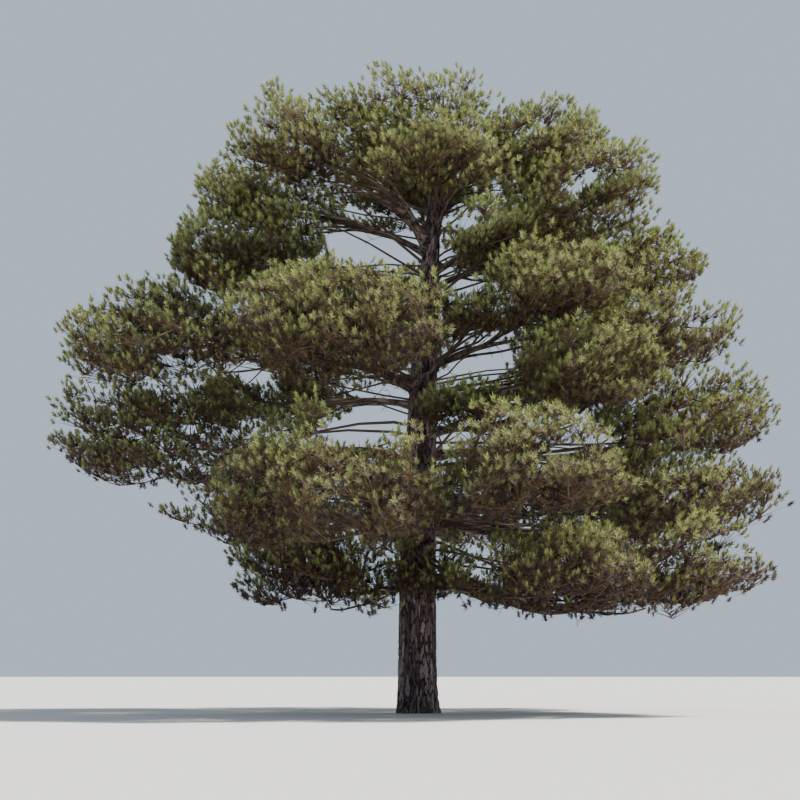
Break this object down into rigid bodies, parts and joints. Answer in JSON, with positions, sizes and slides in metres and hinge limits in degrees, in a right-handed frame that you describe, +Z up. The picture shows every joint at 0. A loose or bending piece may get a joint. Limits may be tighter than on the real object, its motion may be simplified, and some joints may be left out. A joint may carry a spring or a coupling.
{
  "type": "black pine tree",
  "caption": "Full-grown pine with one slightly leaning trunk, spreading boughs in tiers and a broad open crown of dense upright needle tufts.",
  "frame": {"origin": "the middle of the flat cut under the trunk, at ground level", "axes": "+Z up, +X to the right and +Y away from the viewer as the picture shows the tree"},
  "size_m": [19.1558, 17.9182, 16.5742],
  "materials": {
    "bark": "deeply furrowed bark, dry and matt",
    "needles": "stiff matt needles, slightly waxy"
  },
  "bodies": {
    "root": {"trunk": "bark", "bough_top_left": "bark", "bough_left_upper": "bark", "bough_top_right": "bark", "bough_right_upper": "bark", "bough_left_high": "bark", "bough_right_high": "bark", "bough_right_front_high": "bark", "bough_back_high": "bark", "bough_left_mid": "bark", "bough_left_low": "bark", "bough_front_left_mid": "bark", "bough_right_mid": "bark", "bough_right_long": "bark", "bough_right_front_mid": "bark", "bough_back_left_mid": "bark", "bough_back_mid": "bark", "bough_back_right_mid": "bark", "bough_front_left_low": "bark", "bough_left_under": "bark", "bough_front_right_low": "bark", "bough_front_right_under": "bark", "bough_right_lower": "bark", "bough_right_bottom": "bark", "bough_back_left_low": "bark", "bough_back_low": "bark", "bough_back_right_low": "bark", "needles_top": "needles", "needles_top_back": "needles", "needles_top_left": "needles", "needles_left_upper": "needles", "needles_top_right": "needles", "needles_right_upper": "needles", "needles_left_high": "needles", "needles_right_high": "needles", "needles_right_front_high": "needles", "needles_right_small": "needles", "needles_front_mid": "needles", "needles_back_high": "needles", "needles_left_mid": "needles", "needles_left_low": "needles", "needles_front_left_mid": "needles", "needles_front_small": "needles", "needles_right_mid": "needles", "needles_right_long": "needles", "needles_right_front_mid": "needles", "needles_back_left_mid": "needles", "needles_back_mid": "needles", "needles_back_right_mid": "needles", "needles_front_left_low": "needles", "needles_left_under": "needles", "needles_front_right_low": "needles", "needles_front_right_under": "needles", "needles_right_lower": "needles", "needles_right_bottom": "needles", "needles_back_left_low": "needles", "needles_back_low": "needles", "needles_back_right_low": "needles", "needles_trunk_sprig": "needles", "needles_top_front": "needles"}
  },
  "joints": []
}
